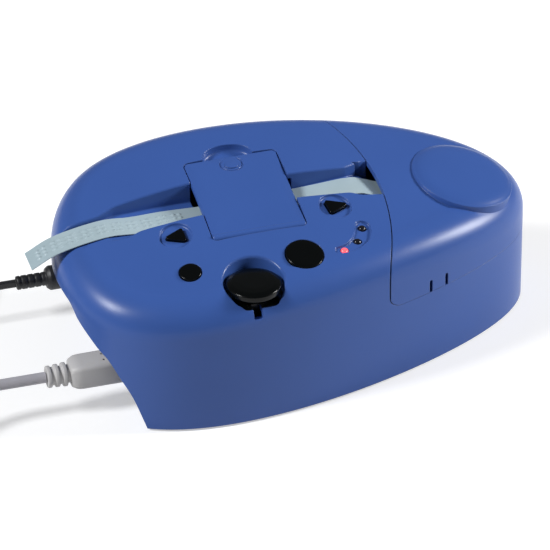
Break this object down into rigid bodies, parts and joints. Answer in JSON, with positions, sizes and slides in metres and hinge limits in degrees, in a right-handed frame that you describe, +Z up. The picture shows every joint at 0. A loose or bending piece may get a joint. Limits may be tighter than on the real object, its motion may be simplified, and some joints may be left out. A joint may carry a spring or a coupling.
{
  "type": "braille labeler",
  "caption": "Desktop labeler that embosses braille on adhesive tape, with keys, cutting knob, hinged tape lid, reel, feed mechanism and wound cords",
  "frame": {"origin": "on the table, under the middle of the box round everything but the cords", "axes": "+X along the tape towards the reel, +Y towards the back, +Z up"},
  "size_m": [0.3454, 0.1539, 0.0749],
  "materials": {
    "blue_plastic": "satin moulded",
    "dark_blue_plastic": "fine texture",
    "black_plastic": "satin black",
    "grey_plastic": "satin",
    "dark_plastic": "moulded",
    "white_plastic": "moulded",
    "tape_vinyl": "pale vinyl",
    "foot_rubber": "matt",
    "cord_sheath": "matt sheath",
    "black_sheath": "matt sheath",
    "steel": "satin",
    "brass": "satin",
    "board": "coated laminate",
    "red_lens": "clear red",
    "smoke_lens": "smoked"
  },
  "bodies": {
    "housing": {"main_shell": "blue_plastic", "base_plate": "dark_blue_plastic", "connector_bay": "dark_blue_plastic", "bulkhead": "dark_blue_plastic", "dc_jack": "black_plastic", "power_adapter": "black_plastic", "dc_plug": "black_plastic", "usb_plug": "grey_plastic", "usb_host_plug": "grey_plastic", "emboss_solenoid": "dark_plastic", "tape_label": "tape_vinyl", "tape_supply": "tape_vinyl", "foot_1": "foot_rubber", "foot_2": "foot_rubber", "foot_3": "foot_rubber", "foot_4": "foot_rubber", "usb_cord": "cord_sheath", "usb_coil": "cord_sheath", "dc_cord": "black_sheath", "dc_coil": "black_sheath", "base_screw_1": "steel", "base_screw_2": "steel", "base_screw_3": "steel", "base_screw_4": "steel", "lid_hinge_pin": "steel", "rocker_pin": "steel", "cut_spring": "steel", "usb_jack": "steel", "mechanism_frame": "steel", "stepper_motor": "steel", "reel_spindle": "steel", "reel_bracket": "steel", "emboss_die": "brass", "main_board": "board", "socket_board": "board", "left_key_board": "board", "right_key_board": "board", "red_lamp": "red_lens", "middle_lamp": "smoke_lens", "rear_lamp": "smoke_lens"},
    "lid": {"tape_lid": "blue_plastic"},
    "cover": {"head_cover": "blue_plastic", "anvil": "steel"},
    "pinch": {"pinch_roller": "foot_rubber"},
    "knob": {"cut_button": "black_plastic"},
    "rocker": {"cut_rocker": "steel", "cutter_blade": "steel"},
    "set_key": {"set_button": "black_plastic"},
    "reset_key": {"reset_button": "black_plastic"},
    "back_arrow_key": {"back_key": "black_plastic"},
    "forward_arrow_key": {"forward_key": "black_plastic"},
    "reel": {"tape_roll": "tape_vinyl", "reel_core": "white_plastic"},
    "feed": {"feed_roller": "foot_rubber", "roller_gear": "white_plastic"},
    "idler": {"idler_gear": "white_plastic"},
    "pinion": {"motor_pinion": "brass"},
    "comb": {"pin_comb": "steel"}
  },
  "joints": [
    {"name": "lid_hinge", "type": "hinge", "parent": "housing", "child": "lid", "pos_m": [0.07805, 0.0459, 0.034], "axis": [-0.9292, 0.3697, 0], "range_deg": [0, 80]},
    {"name": "cover_hinge", "type": "hinge", "parent": "housing", "child": "cover", "pos_m": [-0.01515, -0.0192, 0.06363], "axis": [1, 0, 0], "range_deg": [0, 90]},
    {"name": "cut_press", "type": "slide", "parent": "housing", "child": "knob", "axis": [0, 0, -1], "range_m": [0, 0.0025], "stiffness_N_per_m": 700, "springref_m": -0.001, "deforming": ["cut_spring"]},
    {"name": "rocker_tilt", "type": "hinge", "parent": "housing", "child": "rocker", "pos_m": [-0.0318, -0.022, 0.0385], "axis": [1, 0, 0], "range_deg": [0, 6.4]},
    {"name": "set_press", "type": "slide", "parent": "housing", "child": "set_key", "axis": [-0.0636, 0.2668, -0.9616], "range_m": [0, 0.0012], "stiffness_N_per_m": 600, "springref_m": -0.0005},
    {"name": "reset_press", "type": "slide", "parent": "housing", "child": "reset_key", "axis": [0.1078, 0.2617, -0.9591], "range_m": [0, 0.0012], "stiffness_N_per_m": 600, "springref_m": -0.0005},
    {"name": "back_press", "type": "slide", "parent": "housing", "child": "back_arrow_key", "axis": [0.1078, 0.2617, -0.9591], "range_m": [0, 0.0012], "stiffness_N_per_m": 600, "springref_m": -0.0005},
    {"name": "forward_press", "type": "slide", "parent": "housing", "child": "forward_arrow_key", "axis": [-0.0636, 0.2668, -0.9616], "range_m": [0, 0.0012], "stiffness_N_per_m": 600, "springref_m": -0.0005},
    {"name": "reel_spin", "type": "hinge", "parent": "housing", "child": "reel", "pos_m": [0.07095, 0, 0.03], "axis": [0, -1, 0], "continuous": true},
    {"name": "feed_spin", "type": "hinge", "parent": "housing", "child": "feed", "pos_m": [0.00095, 0, 0.05705], "axis": [0, -1, 0], "continuous": true},
    {"name": "idler_spin", "type": "hinge", "parent": "housing", "child": "idler", "pos_m": [0.00699, 0, 0.04738], "axis": [0, -1, 0], "continuous": true},
    {"name": "pinion_spin", "type": "hinge", "parent": "housing", "child": "pinion", "pos_m": [0.01134, 0, 0.04043], "axis": [0, -1, 0], "continuous": true},
    {"name": "pinch_spin", "type": "hinge", "parent": "cover", "child": "pinch", "pos_m": [0.00095, 0, 0.0649], "axis": [0, -1, 0], "continuous": true},
    {"name": "comb_lift", "type": "slide", "parent": "housing", "child": "comb", "axis": [0, 0, 1], "range_m": [0, 0.0008], "stiffness_N_per_m": 400, "springref_m": -0.0004}
  ],
  "couplings": [
    {"joint": "rocker_tilt", "follows": "cut_press", "rad_per_m": 43.478},
    {"joint": "feed_spin", "follows": "reel_spin", "ratio": 3.4167},
    {"joint": "idler_spin", "follows": "reel_spin", "ratio": -4.5556},
    {"joint": "pinion_spin", "follows": "reel_spin", "ratio": 6.8333},
    {"joint": "pinch_spin", "follows": "reel_spin", "ratio": -22.778}
  ]
}
